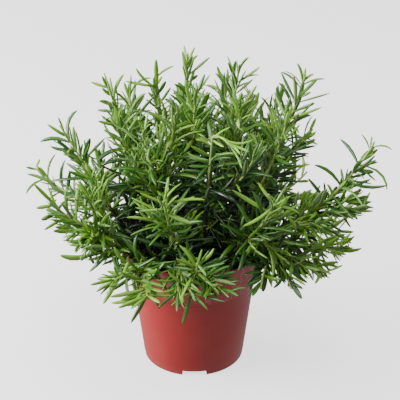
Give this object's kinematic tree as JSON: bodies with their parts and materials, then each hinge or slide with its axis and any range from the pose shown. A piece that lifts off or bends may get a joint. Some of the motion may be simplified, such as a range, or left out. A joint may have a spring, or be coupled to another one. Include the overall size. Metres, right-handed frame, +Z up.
{
  "type": "potted rosemary plant",
  "caption": "Bushy rosemary plant with narrow leaves on upright and arching stems, growing in soil in a thin round plastic nursery pot with a collared rim.",
  "frame": {"origin": "on the ground, under the middle of the plant's outline and the axis of the pot", "axes": "+Z up along the pot's axis, -Y towards the viewer of the picture, +X to the viewer's right, which is the plant's longest extent"},
  "size_m": [0.306, 0.2309, 0.2838],
  "materials": {
    "pot": "brick red plastic, softly glossy",
    "soil": "dark moist peat, crumbly",
    "leafy_stem": "narrow leathery green leaves, glossy above and pale below, on yellow-green stems"
  },
  "bodies": {
    "root": {"pot": "pot", "soil": "soil", "leafy_stem_01": "leafy_stem", "leafy_stem_02": "leafy_stem", "leafy_stem_03": "leafy_stem", "leafy_stem_04": "leafy_stem", "leafy_stem_05": "leafy_stem", "leafy_stem_06": "leafy_stem", "leafy_stem_07": "leafy_stem", "leafy_stem_08": "leafy_stem", "leafy_stem_09": "leafy_stem", "leafy_stem_10": "leafy_stem", "leafy_stem_11": "leafy_stem", "leafy_stem_12": "leafy_stem", "leafy_stem_13": "leafy_stem", "leafy_stem_14": "leafy_stem", "leafy_stem_15": "leafy_stem", "leafy_stem_16": "leafy_stem", "leafy_stem_17": "leafy_stem", "leafy_stem_18": "leafy_stem", "leafy_stem_19": "leafy_stem", "leafy_stem_20": "leafy_stem", "leafy_stem_21": "leafy_stem", "leafy_stem_22": "leafy_stem", "leafy_stem_23": "leafy_stem", "leafy_stem_24": "leafy_stem", "leafy_stem_25": "leafy_stem", "leafy_stem_26": "leafy_stem", "leafy_stem_27": "leafy_stem", "leafy_stem_28": "leafy_stem", "leafy_stem_29": "leafy_stem", "leafy_stem_30": "leafy_stem"}
  },
  "joints": []
}
